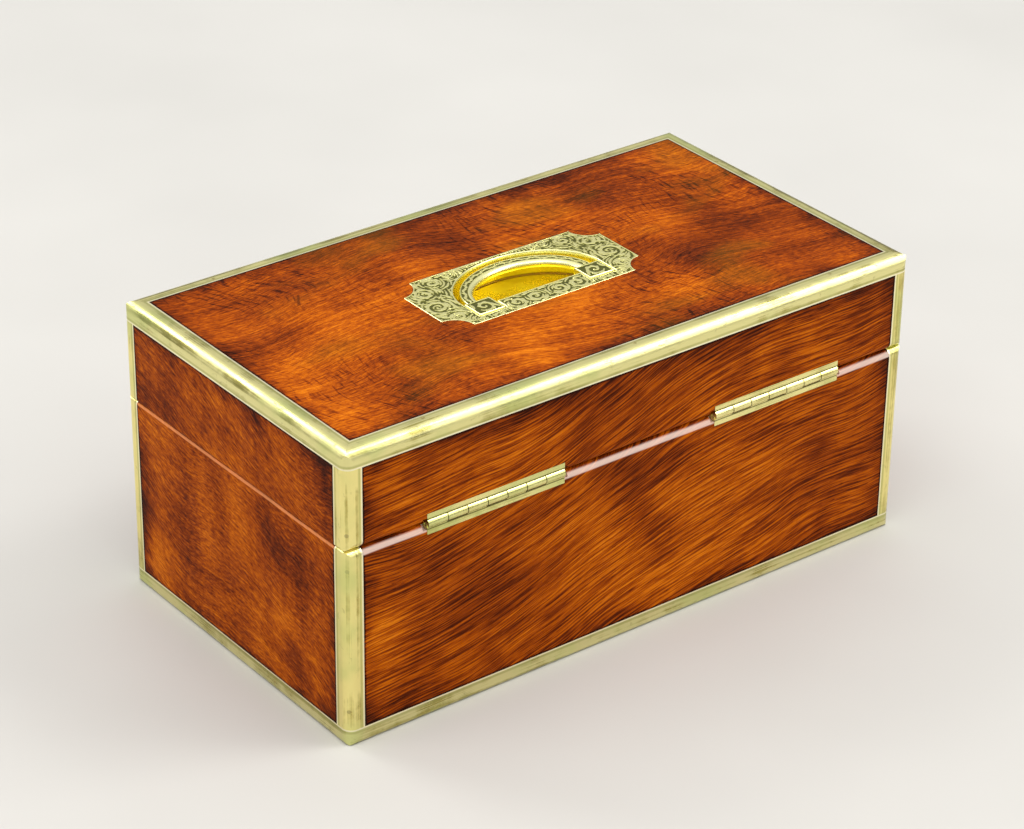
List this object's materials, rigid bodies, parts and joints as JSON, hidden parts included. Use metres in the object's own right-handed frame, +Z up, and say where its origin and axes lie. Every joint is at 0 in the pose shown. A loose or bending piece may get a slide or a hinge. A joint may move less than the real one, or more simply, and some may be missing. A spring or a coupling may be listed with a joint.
{
  "type": "needle case",
  "caption": "Brass-bound polished wooden box with a hinged lid, a flush engraved swing handle and an inner rack for needle packets.",
  "frame": {"origin": "on the ground under the middle of the box", "axes": "+X is the user's right along the longest side, +Y points to the hinged back, +Z is up"},
  "size_m": [0.2, 0.1097, 0.0915],
  "materials": {
    "polished_wood": "french-polished, figured, gloss",
    "inner_wood": "plain, satin",
    "binding_brass": "worn brushed polish",
    "pin_brass": "worn",
    "hinge_brass": "polished",
    "screw_brass": "polished",
    "engraved_brass": "engraved, darkened cuts",
    "bowl_brass": "mirror polish",
    "lock_brass": "satin",
    "steel": "bright",
    "baize": "felted",
    "felt": "felted",
    "lining": "padded silk velvet"
  },
  "bodies": {
    "case": {"case_front_wall": "polished_wood", "case_back_wall": "polished_wood", "case_left_wall": "polished_wood", "case_right_wall": "polished_wood", "bottom_board": "inner_wood", "foot_strip_front": "binding_brass", "foot_strip_back": "binding_brass", "foot_strip_left": "binding_brass", "foot_strip_right": "binding_brass", "case_corner_front_left": "binding_brass", "case_corner_front_right": "binding_brass", "case_corner_back_left": "binding_brass", "case_corner_back_right": "binding_brass", "case_edge_pins": "pin_brass", "foot_baize": "baize", "floor_felt": "felt", "long_divider": "inner_wood", "cross_divider_1": "inner_wood", "cross_divider_2": "inner_wood", "cross_divider_3": "inner_wood", "cross_divider_4": "inner_wood", "cross_divider_5": "inner_wood", "lock_case": "lock_brass", "lock_screws": "screw_brass", "keyhole_escutcheon": "binding_brass", "left_hinge_case_leaf": "hinge_brass", "right_hinge_case_leaf": "hinge_brass", "left_hinge_pin": "hinge_brass", "right_hinge_pin": "hinge_brass", "hinge_screws_case": "screw_brass"},
    "lid": {"lid_front_wall": "polished_wood", "lid_back_wall": "polished_wood", "lid_left_wall": "polished_wood", "lid_right_wall": "polished_wood", "top_panel": "polished_wood", "top_strip_front": "binding_brass", "top_strip_back": "binding_brass", "top_strip_left": "binding_brass", "top_strip_right": "binding_brass", "lid_corner_front_left": "binding_brass", "lid_corner_front_right": "binding_brass", "lid_corner_back_left": "binding_brass", "lid_corner_back_right": "binding_brass", "lid_edge_pins": "pin_brass", "liner_board": "inner_wood", "lid_lining": "lining", "link_plate": "lock_brass", "link_plate_screws": "screw_brass", "left_hinge_lid_leaf": "hinge_brass", "right_hinge_lid_leaf": "hinge_brass", "hinge_screws_lid": "screw_brass", "handle_plate": "engraved_brass", "handle_bowl": "bowl_brass", "handle_pivot_pins": "pin_brass", "handle_studs": "pin_brass", "handle_nuts": "steel"},
    "bail": {"handle_bail": "engraved_brass"},
    "lock_bolt": {"lock_bolt": "steel"}
  },
  "joints": [
    {"name": "lid_hinge", "type": "hinge", "parent": "case", "child": "lid", "pos_m": [0, 0.0537, 0.0614], "axis": [-1, 0, 0], "range_deg": [0, 93]},
    {"name": "bail_hinge", "type": "hinge", "parent": "lid", "child": "bail", "pos_m": [0, 0.0082, 0.0896], "axis": [-1, 0, 0], "range_deg": [0, 90]},
    {"name": "bolt_slide", "type": "slide", "parent": "case", "child": "lock_bolt", "axis": [1, 0, 0], "range_m": [0, 0.004]}
  ]
}
